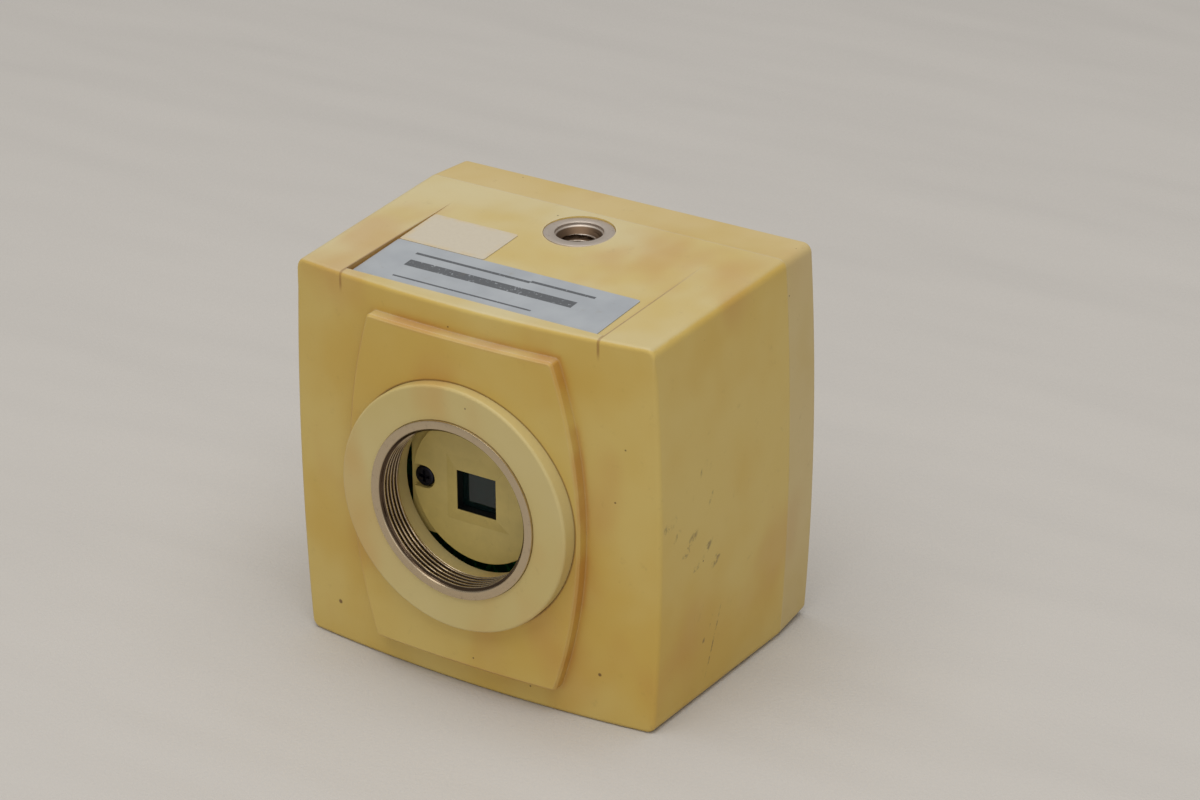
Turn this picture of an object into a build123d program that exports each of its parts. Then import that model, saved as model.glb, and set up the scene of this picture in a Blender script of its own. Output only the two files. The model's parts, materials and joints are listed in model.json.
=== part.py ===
from build123d import *
import math
import os

# Box video camera with a C/CS lens mount: a two-part plastic case round a stack of three boards.
# Millimetres. +Z is up. The lens looks along -Y, and the connector panel faces +Y.
# Depths are measured from the front face's left and right edges, and save() moves every
# piece so that the origin ends up under the middle of the whole camera, at its base.

# Case
WIDTH = 61.4                # across the front face, at its top and bottom edges
HEIGHT = 61.6               # front face, bottom to top
HOUSING_DEPTH = 35.0        # front face edge to the seam
COVER_DEPTH = 8.4           # seam to the rear panel
FRONT_BULGE = 2.2           # how far the front face swells forward in plan
SIDE_BULGE = 1.1            # how far each side swells outward at half height
DRAFT = 0.025               # mould draft of the sides and top, mm per mm of depth
COVER_INSET = 0.65          # how far the rear panel is drawn in from the seam all round
CORNER_R = 1.5
FRONT_EDGE_R = 0.7
REAR_EDGE_R = 0.6
WALL = 2.0
LIP_LENGTH = 1.9
LIP_THICKNESS = 0.85
LIP_GAP = 0.05

# Raised plate round the lens mount
PLATE_RISE = 2.0
PLATE_HEIGHT = 53.0
PLATE_END_WIDTH = 31.8
PLATE_SIDE_BOW = 4.3
PLATE_CORNER_R = 0.8
PLATE_EDGE_BEVEL = 0.35

# Lens mount
AXIS_Z = 30.9               # lens axis above the base
MOUNT_FACE_Y = -6.3         # flange plane of the metal ring
THREAD_MINOR_R = 12.27      # 1 inch - 32 thread, minor radius
THREAD_MOUTH_R = 12.8
METAL_RING_R = 14.10
METAL_RING_LENGTH = 4.45
RING_FACE_Y = -5.9          # front face of the plastic ring
RING_R = 19.5
RING_SEAT_Y = -2.0          # shoulder in the plate that the plastic ring sits on
RING_SPIGOT_R = 15.9
RING_BORE_R = 12.9
RING_REAR_Y = 1.15
FOCUS_BORE_R = 14.15
FOCUS_SHOULDER_Y = -1.35
O_RING_Y = -2.9
O_RING_WIDTH = 0.9
RING_SCREW_CIRCLE_R = 17.75
SCREW_PAD_Y = 1.0

# Image sensor
FLANGE_TO_SENSOR = 12.5     # CS-mount flange focal distance
MASK_Y = 0.8
MASK_R = 11.5
MASK_THICKNESS = 1.2
WINDOW_WIDTH = 6.8
WINDOW_HEIGHT = 6.4
NOTCH_R = 1.8
MASK_SCREW_X = 9.7
HOLDER_DEPTH = 3.0
FILTER_WIDTH = 12.9
FILTER_HEIGHT = 11.9
FILTER_THICKNESS = 1.2
GASKET_THICKNESS = 0.6
PACKAGE_WIDTH = 14.0
PACKAGE_HEIGHT = 12.0
PACKAGE_FRONT_Y = 5.1
PACKAGE_DEPTH = 2.5
PIN_PITCH = 1.78
PINS_PER_SIDE = 6

# Board stack
BOARD_THICKNESS = 1.6
SENSOR_BOARD_Y = 8.6
VIDEO_BOARD_Y = 19.2
CONTROL_BOARD_Y = 30.8
BOARD_HALF_WIDTH = 26.0
BOARD_HALF_HEIGHT = 25.0
STANDOFF_X = 18.5           # the four standoffs stand this far from the lens axis, in X and in Z
STANDOFF_HEX = 5.0
M25_STUD_R = 1.20
M25_HOLE_R = 1.25
STUD_LENGTH = 4.6
REAR_STUD_LENGTH = 3.0
FRONT_HEADER_X = -23.0      # pin rows between the boards
REAR_HEADER_X = 23.0
HEADER_PINS = 8
HEADER_PITCH = 2.54
PIN_STUB_FRONT = 0.5
PIN_STUB_REAR = 0.8
PROCESSOR_X = -6.0
PROCESSOR_Z = 33.0
COIL_X = 9.0
COIL_Z = 12.5

# Case screws
CASE_SCREW_X = 25.0
CASE_SCREW_LOW_Z = 7.0
CASE_SCREW_HIGH_Z = 54.8
CASE_BOSS_R = 3.0

# Tripod bush: 1/4 inch - 20 thread
BUSH_Y = 28.5
BUSH_FLANGE_R = 5.4
BUSH_FLANGE_DEPTH = 1.2
BUSH_BODY_R = 4.4
BUSH_LENGTH = 8.0
BUSH_MINOR_R = 2.6
BUSH_MOUTH_R = 3.675

# Label recess: a wedge, deepest behind the front lip
RECESS_HALF_WIDTH = 22.2
RECESS_FRONT_Y = 0.5
RECESS_REAR_Y = 27.5
RECESS_DEPTH = 0.9
LABEL_THICKNESS = 0.12

# Rear panel
BNC_X = -13.0
BNC_Z = 40.0
BNC_SHELL_R = 4.8
BNC_REACH = 12.6            # how far the socket stands out of the rear panel
JACK_X = 13.0
JACK_Z = 40.0
JACK_BORE_R = 2.85
SWITCH_Z = 20.0
SWITCH_XS = {"gain": -14.0, "shutter": -3.0}
SWITCH_TRAVEL = 2.0
TRIMMER_X = 8.0
LED_X = 18.0

# Worked out from the values above
REAR_Y = HOUSING_DEPTH + COVER_DEPTH
PANEL_INNER_Y = REAR_Y - WALL
SIDE_R = (HEIGHT ** 2 / 4 + SIDE_BULGE ** 2) / (2 * SIDE_BULGE)
FRONT_R = (WIDTH ** 2 / 4 + FRONT_BULGE ** 2) / (2 * FRONT_BULGE)
FRONT_CENTRE_Y = FRONT_R - FRONT_BULGE
HOLDER_Y = MASK_Y + MASK_THICKNESS
SENSOR_Y = MOUNT_FACE_Y + FLANGE_TO_SENSOR
BNC_END_Y = REAR_Y + BNC_REACH
SWITCH_TOP_Y = CONTROL_BOARD_Y + 7.4
ORIGIN_Y = (MOUNT_FACE_Y + BNC_END_Y) / 2
SLOPE_RISE = RECESS_DEPTH + DRAFT * (RECESS_REAR_Y - RECESS_FRONT_Y)
RECESS_SLOPE = math.degrees(math.atan(SLOPE_RISE / (RECESS_REAR_Y - RECESS_FRONT_Y)))
STANDOFF_PLACES = [(x, AXIS_Z + z) for x in (-STANDOFF_X, STANDOFF_X) for z in (-STANDOFF_X, STANDOFF_X)]
CASE_SCREW_PLACES = [(x, z) for x in (-CASE_SCREW_X, CASE_SCREW_X)
                     for z in (CASE_SCREW_LOW_Z, CASE_SCREW_HIGH_Z)]


# ---------------------------------------------------------------- helpers

def save(name, shape):
    """Write one piece, moved to the origin under the middle of the camera."""
    placed = Pos(0, -ORIGIN_Y, 0) * shape
    export_step(placed, f"parts/{name}.step")


def top_z(y):
    """Height of the drafted top face at a depth."""
    return HEIGHT + DRAFT * y


def rod(radius, y0, y1, x=0.0, z=AXIS_Z):
    """Cylinder along the depth, from y0 to y1."""
    return Pos(x, (y0 + y1) / 2, z) * Rot(90, 0, 0) * Cylinder(radius, abs(y1 - y0))


def tube(outer, inner, y0, y1, x=0.0, z=AXIS_Z):
    """Tube along the depth."""
    return rod(outer, y0, y1, x, z) - rod(inner, y0 - 1, y1 + 1, x, z)


def hexagon(across_flats, y0, y1, x=0.0, z=AXIS_Z):
    """Hexagonal prism along the depth."""
    outline = RegularPolygon(across_flats / 2, 6, major_radius=False)
    prism = extrude(outline, abs(y1 - y0) / 2, both=True)
    return Pos(x, (y0 + y1) / 2, z) * Rot(90, 0, 0) * prism


def block(width, height, y0, y1, x=0.0, z=AXIS_Z):
    """Box of a width in X and a height in Z, from y0 to y1."""
    return Pos(x, (y0 + y1) / 2, z) * Box(width, y1 - y0, height)


def cross_recess(y_face, depth, x, z, span, direction):
    """Cross-shaped driver recess cut into a screw head, going from its face along direction."""
    y0, y1 = sorted((y_face, y_face + direction * depth))
    return block(span, span * 0.26, y0, y1, x, z) + block(span * 0.26, span, y0, y1, x, z)


def screw(shank_r, head_r, head_y, head_height, tip_y, x, z):
    """Pan head screw along the depth; the head's seat is at head_y and the tip at tip_y."""
    direction = 1 if tip_y > head_y else -1
    face_y = head_y - direction * head_height
    head = rod(head_r, *sorted((face_y, head_y)), x, z)
    rim = head.edges().filter_by(GeomType.CIRCLE).sort_by(Axis.Y)
    head = fillet(rim[0] if direction > 0 else rim[-1], head_height * 0.35)
    body = head + rod(shank_r, *sorted((head_y, tip_y)), x, z)
    return body - cross_recess(face_y, head_height * 0.55, x, z, head_r * 1.15, direction)


def pack_up(pieces):
    """One compound of separate solids."""
    return Compound(children=[solid for piece in pieces for solid in piece.solids()])


# ---------------------------------------------------------------- case

def side_drum(side, y0, half0, y1, half1):
    """Large cylinder whose outer wall is one bowed side, half0 from the middle at y0 and half1 at y1."""
    slope = math.atan2(half1 - half0, y1 - y0)
    axis_x = (half0 + half1) / 2 + SIDE_BULGE - SIDE_R / math.cos(slope)
    turned = Rot(0, 0, -side * math.degrees(slope)) * Rot(90, 0, 0) * Cylinder(SIDE_R, 3 * (y1 - y0) + 60)
    return Pos(side * axis_x, (y0 + y1) / 2, HEIGHT / 2) * turned


def prism(y0, y1, inset0=0.0, inset1=0.0, corner_r=CORNER_R):
    """Case shape between two depths: flat base and top, bowed sides, rounded long edges."""
    floor0, floor1 = (y0, inset0), (y1, inset1)
    roof0, roof1 = (y0, top_z(y0) - inset0), (y1, top_z(y1) - inset1)
    profile = make_face(Polyline(floor0, floor1, roof1, roof0, close=True))
    shape = extrude(Plane.YZ * profile, WIDTH, both=True)
    half0 = WIDTH / 2 + DRAFT * y0 - inset0
    half1 = WIDTH / 2 + DRAFT * y1 - inset1
    for side in (-1, 1):
        shape = shape & side_drum(side, y0, half0, y1, half1)
    long_edges = [edge for edge in shape.edges() if abs((edge @ 1 - edge @ 0).Y) > 0.9 * (y1 - y0)]
    return fillet(long_edges, corner_r)


def front_drum(offset=0.0):
    """Upright cylinder whose nearest side is the convex front face."""
    return Pos(0, FRONT_CENTRE_Y, HEIGHT / 2) * Cylinder(FRONT_R + offset, HEIGHT * 2)


def raised_plate():
    """Plate round the lens mount, with bowed sides; its face follows the front face."""
    half = PLATE_END_WIDTH / 2
    tall = PLATE_HEIGHT / 2
    with BuildSketch(Plane.XZ) as sketch:
        with BuildLine():
            Line((-half, -tall), (half, -tall))
            ThreePointArc((half, -tall), (half + PLATE_SIDE_BOW, 0), (half, tall))
            Line((half, tall), (-half, tall))
            ThreePointArc((-half, tall), (-half - PLATE_SIDE_BOW, 0), (-half, -tall))
        make_face()
        fillet(sketch.vertices(), PLATE_CORNER_R)
    slab = extrude(sketch.sketch, 8, both=True)
    slab = slab & block(WIDTH, HEIGHT, -8, 0.3, z=0)
    slab = Pos(0, 0, AXIS_Z) * slab
    slab = slab & front_drum(PLATE_RISE)
    face = slab.faces().sort_by(Axis.Y)[0]
    return chamfer(face.edges(), PLATE_EDGE_BEVEL)


def case_bosses(y0, y1, radius):
    """Four posts that the case screws run in, each tied to the wall by a web."""
    posts = []
    for x, z in CASE_SCREW_PLACES:
        side = math.copysign(1, x)
        posts.append(rod(radius, y0, y1, x, z))
        posts.append(block(4.0, 2.0, y0, y1, x + side * 3.0, z))
    return posts


def front_housing():
    """Front shell with the plate, the mount seat, board posts, case bosses and label recess."""
    shell = prism(-FRONT_BULGE - 1, HOUSING_DEPTH) & front_drum()
    front_face = shell.faces().sort_by(Axis.Y)[0]
    shell = fillet(front_face.edges(), FRONT_EDGE_R)
    cavity = prism(-FRONT_BULGE - 1, HOUSING_DEPTH + 0.01, WALL, WALL, 0.6) & front_drum(-WALL)
    shell = shell - cavity
    shell = shell + raised_plate()
    inside = prism(-1, HOUSING_DEPTH, WALL / 2, WALL / 2, 0.8)
    for post in case_bosses(0.5, HOUSING_DEPTH, CASE_BOSS_R):
        shell = shell + (post & inside)
    for x, z in STANDOFF_PLACES:
        shell = shell + rod(2.8, 0.0, SENSOR_BOARD_Y, x, z)
    shell = shell + tube(21.0, RING_SPIGOT_R + 0.05, -0.5, SCREW_PAD_Y)
    shell = shell + bush_boss()
    # rabbet at the seam for the rear cover's lip
    rabbet = prism(HOUSING_DEPTH - LIP_LENGTH - 0.1, HOUSING_DEPTH + 0.01, WALL - 1.0, WALL - 1.0, 0.9)
    core = prism(HOUSING_DEPTH - LIP_LENGTH - 0.2, HOUSING_DEPTH + 0.02, WALL, WALL, 0.6)
    shell = shell - (rabbet - core)
    # lens mount seat
    shell = shell - rod(RING_R + 0.05, -12, RING_SEAT_Y)
    shell = shell - rod(RING_SPIGOT_R + 0.05, -12, 3)
    for x, z in ring_screw_places():
        shell = shell - rod(1.1, -3, 3, x, z)
    for x, z in STANDOFF_PLACES:
        shell = shell - rod(M25_HOLE_R, SENSOR_BOARD_Y - STUD_LENGTH - 0.4, SENSOR_BOARD_Y + 1, x, z)
    for x, z in CASE_SCREW_PLACES:
        shell = shell - rod(M25_HOLE_R, HOUSING_DEPTH - 12, HOUSING_DEPTH + 1, x, z)
    shell = shell - bush_space()
    return shell - label_recess()


def bush_boss():
    """Thick pad under the top wall that holds the tripod bush."""
    low = top_z(BUSH_Y) - BUSH_LENGTH - 1.5
    high = top_z(BUSH_Y) - WALL / 2
    return Pos(0, BUSH_Y, (low + high) / 2) * Cylinder(6.4, high - low)


def bush_space():
    """Stepped hole that the tripod bush is pressed into."""
    face = top_z(BUSH_Y) - 0.1
    flange = Pos(0, BUSH_Y, face - BUSH_FLANGE_DEPTH + 2) * Cylinder(BUSH_FLANGE_R + 0.02, 4)
    body = Pos(0, BUSH_Y, face - BUSH_LENGTH / 2) * Cylinder(BUSH_BODY_R + 0.02, BUSH_LENGTH)
    return flange + body


def recess_floor(distance, rise=0.0):
    """Point (y, z) on the recess floor, a distance back from its front, lifted by rise."""
    angle = math.radians(RECESS_SLOPE)
    y = RECESS_FRONT_Y + distance * math.cos(angle) - rise * math.sin(angle)
    z = top_z(RECESS_FRONT_Y) - RECESS_DEPTH + distance * math.sin(angle) + rise * math.cos(angle)
    return y, z


def label_recess():
    """Wedge cut into the top face."""
    front = recess_floor(0)
    rear_y = RECESS_REAR_Y + 1
    rear_z = front[1] + (rear_y - RECESS_FRONT_Y) * math.tan(math.radians(RECESS_SLOPE))
    above = HEIGHT + 5
    profile = Polyline(front, (rear_y, rear_z), (rear_y, above), (RECESS_FRONT_Y, above), close=True)
    return extrude(Plane.YZ * make_face(profile), RECESS_HALF_WIDTH, both=True)


def recess_sheet(x0, x1, start, length, thickness):
    """Thin sheet lying on the sloping floor of the recess."""
    y, z = recess_floor(start + length / 2, thickness / 2 + 0.01)
    sheet = Box(x1 - x0, length, thickness)
    sheet = fillet(sheet.edges().filter_by(Axis.Z), 0.4)
    return Pos((x0 + x1) / 2, y, z) * Rot(RECESS_SLOPE, 0, 0) * sheet


def rear_cover():
    """Rear shell with the lip, case bosses and the panel openings."""
    shell = prism(HOUSING_DEPTH, REAR_Y, 0.0, COVER_INSET)
    panel = shell.faces().sort_by(Axis.Y)[-1]
    shell = fillet(panel.edges(), REAR_EDGE_R)
    cavity = prism(HOUSING_DEPTH - 0.01, PANEL_INNER_Y, WALL, WALL + COVER_INSET, 0.6)
    shell = shell - cavity
    outer = WALL - 1.0 + LIP_GAP
    inner = outer + LIP_THICKNESS
    lip = prism(HOUSING_DEPTH - LIP_LENGTH, HOUSING_DEPTH + 1, outer, outer, 0.9)
    lip = lip - prism(HOUSING_DEPTH - LIP_LENGTH - 0.1, HOUSING_DEPTH + 1.1, inner, inner, 0.6)
    lip_front = HOUSING_DEPTH - LIP_LENGTH - 1
    lip_end = HOUSING_DEPTH + 2
    for x, z in CASE_SCREW_PLACES:
        side = math.copysign(1, x)
        lip = lip - rod(CASE_BOSS_R + 1.3, lip_front, lip_end, x, z)
        lip = lip - block(9.0, 3.0, lip_front, lip_end, x + side * 4.5, z)
    lip = lip - block(14.0, 8.0, lip_front, lip_end, z=top_z(HOUSING_DEPTH) - WALL)
    shell = shell + lip
    inside = prism(HOUSING_DEPTH, REAR_Y - 0.5, WALL / 2, WALL / 2 + COVER_INSET, 0.8)
    for post in case_bosses(HOUSING_DEPTH, PANEL_INNER_Y + 0.5, CASE_BOSS_R + 0.6):
        shell = shell + (post & inside)
    for x, z in CASE_SCREW_PLACES:
        shell = shell - rod(1.45, HOUSING_DEPTH - 1, REAR_Y + 1, x, z)
        shell = shell - rod(2.55, REAR_Y - 2.6, REAR_Y + 1, x, z)
    shell = shell - bnc_opening()
    shell = shell - rod(3.95, HOUSING_DEPTH, REAR_Y + 1, JACK_X, JACK_Z)
    for x in SWITCH_XS.values():
        shell = shell - block(SWITCH_TRAVEL + 3.2, 2.8, PANEL_INNER_Y - 1, REAR_Y + 1, x, SWITCH_Z)
        shell = shell - block(SWITCH_TRAVEL + 6.0, 5.0, REAR_Y - 0.8, REAR_Y + 1, x, SWITCH_Z)
    shell = shell - rod(1.75, PANEL_INNER_Y - 1, REAR_Y + 1, TRIMMER_X, SWITCH_Z)
    shell = shell - rod(1.55, PANEL_INNER_Y - 1, REAR_Y + 1, LED_X, SWITCH_Z)
    return shell


def case_screws():
    """Four self-tapping screws through the rear cover into the front housing."""
    seat = REAR_Y - 2.6
    tip = HOUSING_DEPTH - 10
    return pack_up([screw(M25_STUD_R, 2.3, seat, 1.7, tip, x, z) for x, z in CASE_SCREW_PLACES])


# ---------------------------------------------------------------- lens mount

def ring_screw_places():
    """Three screws, evenly spaced round the lens axis."""
    r = RING_SCREW_CIRCLE_R
    angles = [math.radians(90 + 120 * i) for i in range(3)]
    return [(r * math.cos(a), AXIS_Z + r * math.sin(a)) for a in angles]


def mount_ring():
    """Plastic ring on the front of the plate, bored for the metal ring."""
    ring = rod(RING_R, RING_FACE_Y, RING_SEAT_Y)
    rim = ring.edges().filter_by(GeomType.CIRCLE).sort_by(Axis.Y)[0]
    ring = fillet(rim, 0.4)
    ring = ring + rod(RING_SPIGOT_R, RING_SEAT_Y - 0.1, RING_REAR_Y)
    ring = ring - rod(FOCUS_BORE_R, RING_FACE_Y - 1, FOCUS_SHOULDER_Y)
    ring = ring - rod(RING_BORE_R, RING_FACE_Y - 1, RING_REAR_Y + 1)
    for x, z in ring_screw_places():
        ring = ring - rod(0.85, RING_SEAT_Y - 2.8, RING_SEAT_Y + 0.1, x, z)
    return ring


def mount_ring_screws():
    """Three small screws that hold the plastic ring from inside."""
    tip = RING_SEAT_Y - 2.6
    return pack_up([screw(0.80, 1.7, SCREW_PAD_Y, 1.2, tip, x, z) for x, z in ring_screw_places()])


def metal_ring():
    """Threaded metal ring: it screws in and out of the plastic ring to set the back focus."""
    rear = MOUNT_FACE_Y + METAL_RING_LENGTH
    ring = rod(METAL_RING_R, MOUNT_FACE_Y, rear) - rod(THREAD_MINOR_R, MOUNT_FACE_Y - 1, rear + 1)
    chamfer_depth = THREAD_MOUTH_R - THREAD_MINOR_R
    cone = Cone(THREAD_MOUTH_R, THREAD_MINOR_R, chamfer_depth)
    ring = ring - Pos(0, MOUNT_FACE_Y + chamfer_depth / 2, AXIS_Z) * Rot(-90, 0, 0) * cone
    outer_rim = ring.edges().filter_by(GeomType.CIRCLE).filter_by(lambda e: e.radius > METAL_RING_R - 0.01)
    ring = chamfer(outer_rim.sort_by(Axis.Y)[0], 0.12)
    half = O_RING_WIDTH / 2 + 0.05
    return ring - tube(METAL_RING_R + 1, METAL_RING_R - 0.7, O_RING_Y - half, O_RING_Y + half)


def focus_o_ring():
    """Damping ring in the metal ring's groove: it travels with the ring but doesn't turn."""
    half = O_RING_WIDTH / 2
    ring = tube(METAL_RING_R + 0.03, METAL_RING_R - 0.64, O_RING_Y - half, O_RING_Y + half)
    return fillet(ring.edges().filter_by(GeomType.CIRCLE), 0.2)


# ---------------------------------------------------------------- image sensor

def mask_screw_places():
    """The two screws beside the sensor window."""
    return [(-MASK_SCREW_X, AXIS_Z), (MASK_SCREW_X, AXIS_Z)]


def sensor_mask():
    """Round plastic mask with the sensor window and two notches for the screws."""
    mask = rod(MASK_R, MASK_Y, HOLDER_Y)
    rim = mask.edges().filter_by(GeomType.CIRCLE).sort_by(Axis.Y)[0]
    mask = fillet(rim, 0.25)
    mask = mask - block(WINDOW_WIDTH, WINDOW_HEIGHT, MASK_Y - 1, HOLDER_Y + 1)
    for x, z in mask_screw_places():
        outward = math.copysign(3.0, x)
        mask = mask - rod(NOTCH_R, MASK_Y - 1, HOLDER_Y + 1, x, z)
        mask = mask - block(6.0, NOTCH_R * 2, MASK_Y - 1, HOLDER_Y + 1, x + outward, z)
    return mask


def sensor_holder():
    """Moulded holder that carries the mask, the filter and the gasket over the sensor."""
    rear = HOLDER_Y + HOLDER_DEPTH
    holder = block(25.0, 19.0, HOLDER_Y, rear)
    holder = fillet(holder.edges().filter_by(Axis.Y), 3.0)
    holder = holder - block(FILTER_WIDTH + 0.1, FILTER_HEIGHT + 0.1, HOLDER_Y - 1, filter_ledge_y())
    holder = holder - block(9.4, 7.4, HOLDER_Y - 1, rear + 1)
    for x, z in mask_screw_places():
        holder = holder + rod(2.0, rear - 0.5, SENSOR_BOARD_Y, x, z)
    for x, z in mask_screw_places():
        holder = holder - rod(1.1, HOLDER_Y - 1, SENSOR_BOARD_Y + 1, x, z)
    return holder


def filter_ledge_y():
    """Depth of the ledge behind the gasket."""
    return HOLDER_Y + FILTER_THICKNESS + GASKET_THICKNESS


def infrared_filter():
    """Coloured glass plate behind the mask's window."""
    plate = block(FILTER_WIDTH, FILTER_HEIGHT, HOLDER_Y, HOLDER_Y + FILTER_THICKNESS)
    return chamfer(plate.edges().filter_by(Axis.Y), 0.2)


def filter_gasket():
    """Rubber frame that presses the filter against the mask."""
    front = HOLDER_Y + FILTER_THICKNESS
    frame = block(FILTER_WIDTH, FILTER_HEIGHT, front, filter_ledge_y())
    return frame - block(9.4, 7.4, front - 1, filter_ledge_y() + 1)


def mask_screws():
    """Two screws through the holder and the sensor board."""
    tip = SENSOR_BOARD_Y + BOARD_THICKNESS + 2.2
    return pack_up([screw(0.95, 1.65, HOLDER_Y, 1.0, tip, x, z) for x, z in mask_screw_places()])


def holder_nuts():
    """Two nuts behind the sensor board."""
    front = SENSOR_BOARD_Y + BOARD_THICKNESS
    nuts = [hexagon(4.0, front, front + 1.6, x, z) - rod(1.0, front - 1, front + 3, x, z)
            for x, z in mask_screw_places()]
    return pack_up(nuts)


def sensor_package():
    """Ceramic body of the image sensor, stepped inside for the glass and the chip."""
    rear = PACKAGE_FRONT_Y + PACKAGE_DEPTH
    body = block(PACKAGE_WIDTH, PACKAGE_HEIGHT, PACKAGE_FRONT_Y, rear)
    body = chamfer(body.edges().filter_by(Axis.Y), 0.3)
    body = body - block(11.2, 9.2, PACKAGE_FRONT_Y - 1, PACKAGE_FRONT_Y + 0.6)
    return body - block(9.0, 7.2, PACKAGE_FRONT_Y - 1, SENSOR_Y + 0.3)


def sensor_glass():
    """Cover glass of the image sensor."""
    return block(11.1, 9.1, PACKAGE_FRONT_Y, PACKAGE_FRONT_Y + 0.6)


def sensor_chip():
    """Silicon chip; its face lies in the lens's focal plane."""
    return block(7.6, 6.2, SENSOR_Y, SENSOR_Y + 0.3)


def sensor_pin_places():
    """Two rows of pins under the sensor package."""
    first = -(PINS_PER_SIDE - 1) / 2 * PIN_PITCH
    return [(x, AXIS_Z + first + i * PIN_PITCH) for x in (-6.0, 6.0) for i in range(PINS_PER_SIDE)]


def sensor_pins():
    """Pins from the package through the sensor board."""
    start = PACKAGE_FRONT_Y + PACKAGE_DEPTH
    end = SENSOR_BOARD_Y + BOARD_THICKNESS + 0.8
    return pack_up([rod(0.25, start, end, x, z) for x, z in sensor_pin_places()])


# ---------------------------------------------------------------- board stack

def board(y):
    """Circuit board with notched corners, holed for the standoffs."""
    panel = block(BOARD_HALF_WIDTH * 2, BOARD_HALF_HEIGHT * 2, y, y + BOARD_THICKNESS)
    for x in (-BOARD_HALF_WIDTH, BOARD_HALF_WIDTH):
        for z in (AXIS_Z - BOARD_HALF_HEIGHT, AXIS_Z + BOARD_HALF_HEIGHT):
            panel = panel - block(10.4, 11.0, y - 1, y + 3, x, z)
    panel = panel - block(15.0, 8.0, y - 1, y + 3, 0, AXIS_Z + BOARD_HALF_HEIGHT)
    for x, z in STANDOFF_PLACES:
        panel = panel - rod(1.5, y - 1, y + 3, x, z)
    return panel


def sensor_board():
    """Front board, with holes for the sensor's pins and the holder's screws."""
    panel = board(SENSOR_BOARD_Y)
    for x, z in mask_screw_places():
        panel = panel - rod(1.1, SENSOR_BOARD_Y - 1, SENSOR_BOARD_Y + 3, x, z)
    for x, z in sensor_pin_places():
        panel = panel - rod(0.4, SENSOR_BOARD_Y - 1, SENSOR_BOARD_Y + 3, x, z)
    return panel - header_holes(FRONT_HEADER_X, SENSOR_BOARD_Y)


def video_board():
    """Middle board."""
    panel = board(VIDEO_BOARD_Y) - header_holes(FRONT_HEADER_X, VIDEO_BOARD_Y)
    return panel - header_holes(REAR_HEADER_X, VIDEO_BOARD_Y)


def control_board():
    """Rear board, with a clear hole for the socket's centre contact."""
    panel = board(CONTROL_BOARD_Y) - header_holes(REAR_HEADER_X, CONTROL_BOARD_Y)
    return panel - rod(0.8, CONTROL_BOARD_Y - 1, CONTROL_BOARD_Y + 3, BNC_X, BNC_Z)


def header_places(x):
    """Pin places of one row between two boards."""
    first = -(HEADER_PINS - 1) / 2 * HEADER_PITCH
    return [(x, AXIS_Z + first + i * HEADER_PITCH) for i in range(HEADER_PINS)]


def header_holes(x, y):
    """Plated holes for one pin row."""
    return [rod(0.5, y - 1, y + 3, px, pz) for px, pz in header_places(x)]


def header_block(x, y0, y1):
    """Plastic body of one pin row, between two boards."""
    body = block(2.5, HEADER_PINS * HEADER_PITCH, y0, y1, x)
    return body - [rod(0.37, y0 - 1, y1 + 1, px, pz) for px, pz in header_places(x)]


def header_pins(x, y0, y1):
    """Pins of one row, standing out in front of the first board and behind the second."""
    tip = y0 - PIN_STUB_FRONT
    tail = y1 + PIN_STUB_REAR
    return pack_up([rod(0.32, tip, tail, px, pz) for px, pz in header_places(x)])


def standoffs(y0, y1, stud_from):
    """Four hexagonal pillars, each with a stud in front and a threaded bore behind."""
    pillars = []
    for x, z in STANDOFF_PLACES:
        pillar = hexagon(STANDOFF_HEX, y0, y1, x, z)
        pillar = pillar + rod(M25_STUD_R, stud_from, y0 + 0.5, x, z)
        pillar = pillar - rod(M25_HOLE_R, y1 - STUD_LENGTH + 1.2, y1 + 1, x, z)
        pillars.append(pillar)
    return pack_up(pillars)


def board_screws():
    """Four screws that hold the rear board."""
    seat = CONTROL_BOARD_Y + BOARD_THICKNESS
    tip = CONTROL_BOARD_Y - 3.0
    return pack_up([screw(M25_STUD_R, 2.1, seat, 1.4, tip, x, z) for x, z in STANDOFF_PLACES])


def chip(width, height, y, depth, x, z):
    """Moulded chip body with a bevelled back edge; y is the face on the board."""
    body = block(width, height, y, y + depth, x, z)
    back = body.faces().sort_by(Axis.Y)[-1]
    return chamfer(back.edges(), 0.25)


def driver_chips():
    """Three small chips on the back of the sensor board."""
    y = SENSOR_BOARD_Y + BOARD_THICKNESS
    places = ((-1.0, 44.0), (13.5, 40.0), (0.0, 15.0))
    return pack_up([chip(7.0, 5.2, y, 1.8, x, z) for x, z in places])


def processor_chip():
    """Square signal processor on the back of the middle board."""
    return chip(14.0, 14.0, VIDEO_BOARD_Y + BOARD_THICKNESS + 0.15, 2.3, PROCESSOR_X, PROCESSOR_Z)


def processor_leads():
    """Four rows of flat leads round the processor."""
    y = VIDEO_BOARD_Y + BOARD_THICKNESS
    leads = []
    for i in range(11):
        step = (i - 5) * 1.1
        for side in (-1, 1):
            leads.append(block(1.6, 0.45, y, y + 0.14, PROCESSOR_X + side * 7.8, PROCESSOR_Z + step))
            leads.append(block(0.45, 1.6, y, y + 0.14, PROCESSOR_X + step, PROCESSOR_Z + side * 7.8))
    return pack_up(leads)


def crystal_can():
    """Metal can of the clock crystal, lying on the middle board."""
    y = VIDEO_BOARD_Y + BOARD_THICKNESS
    can = block(11.0, 4.6, y, y + 3.5, 10.0, 22.0)
    can = fillet(can.edges().filter_by(Axis.Y), 2.2)
    back = can.faces().sort_by(Axis.Y)[-1]
    return fillet(back.edges(), 0.4)


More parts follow.
